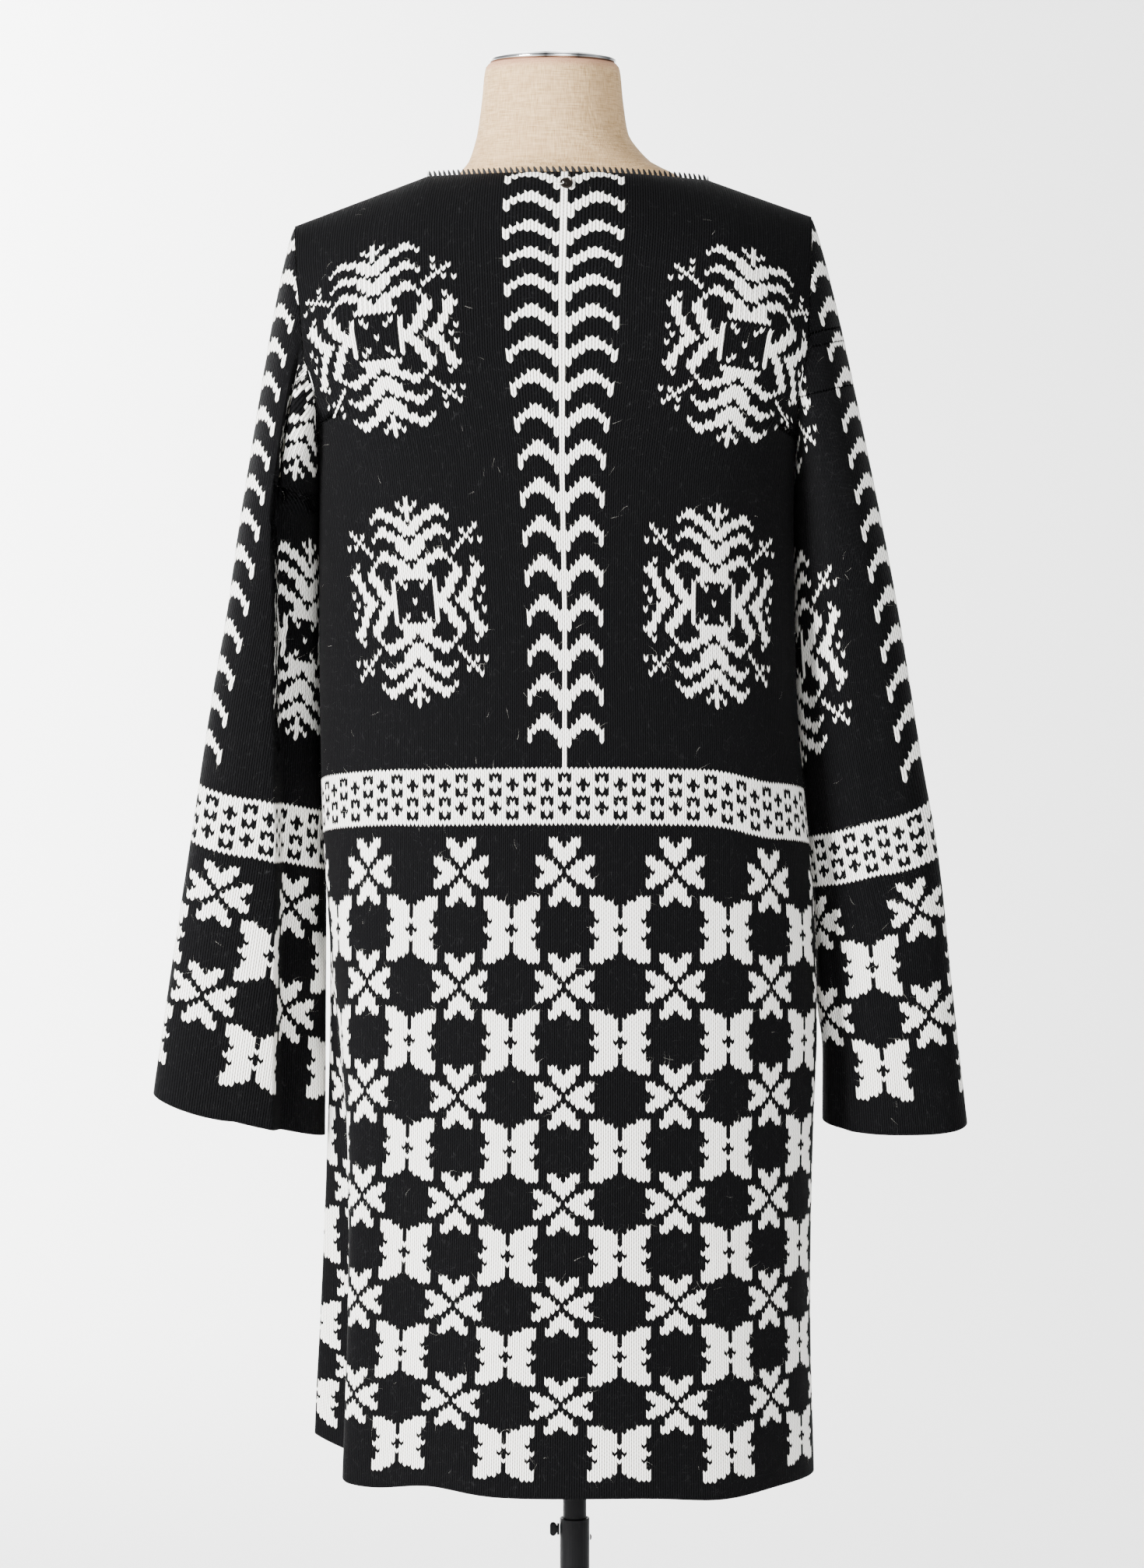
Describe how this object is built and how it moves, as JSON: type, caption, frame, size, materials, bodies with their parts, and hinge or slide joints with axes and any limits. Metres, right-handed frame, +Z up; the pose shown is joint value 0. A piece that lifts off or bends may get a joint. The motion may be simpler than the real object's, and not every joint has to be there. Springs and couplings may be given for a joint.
{
  "type": "long jacquard cardigan on a limbless dress form with a stand",
  "caption": "Long black and ivory jacquard knit cardigan with wide sleeves, worn by a linen dress form on a black telescopic stand.",
  "frame": {"origin": "centre of the base plate's underside, on the floor", "axes": "+Z up; +X to the wearer's left; the front opening faces -Y and the back, which the picture shows, faces +Y"},
  "size_m": [0.6042, 0.31, 1.4998],
  "materials": {
    "wool_knit": "black and ivory mohair-like jacquard knit",
    "linen": "plain linen weave, stretched smooth",
    "chrome": "polished",
    "black_paint": "semi-gloss black",
    "clamp_metal": "satin black",
    "badge_metal": "dark bronze, satin"
  },
  "bodies": {
    "stand": {"base_plate": "black_paint", "outer_tube": "black_paint", "clamp_boss": "clamp_metal", "tube_rivet": "clamp_metal"},
    "dressed_form": {"inner_pole": "black_paint", "form_body": "linen", "neck_cap": "chrome", "back": "wool_knit", "front_left": "wool_knit", "front_right": "wool_knit", "sleeve_left": "wool_knit", "sleeve_right": "wool_knit", "badge": "badge_metal"},
    "clamp": {"clamp_screw": "clamp_metal"}
  },
  "joints": [
    {"name": "height_slide", "type": "slide", "parent": "stand", "child": "dressed_form", "axis": [0, 0, 1], "range_m": [-0.1, 0.2]},
    {"name": "clamp_turn", "type": "hinge", "parent": "stand", "child": "clamp", "pos_m": [0.0134, 0, 0.405], "axis": [1, 0, 0], "continuous": true}
  ]
}
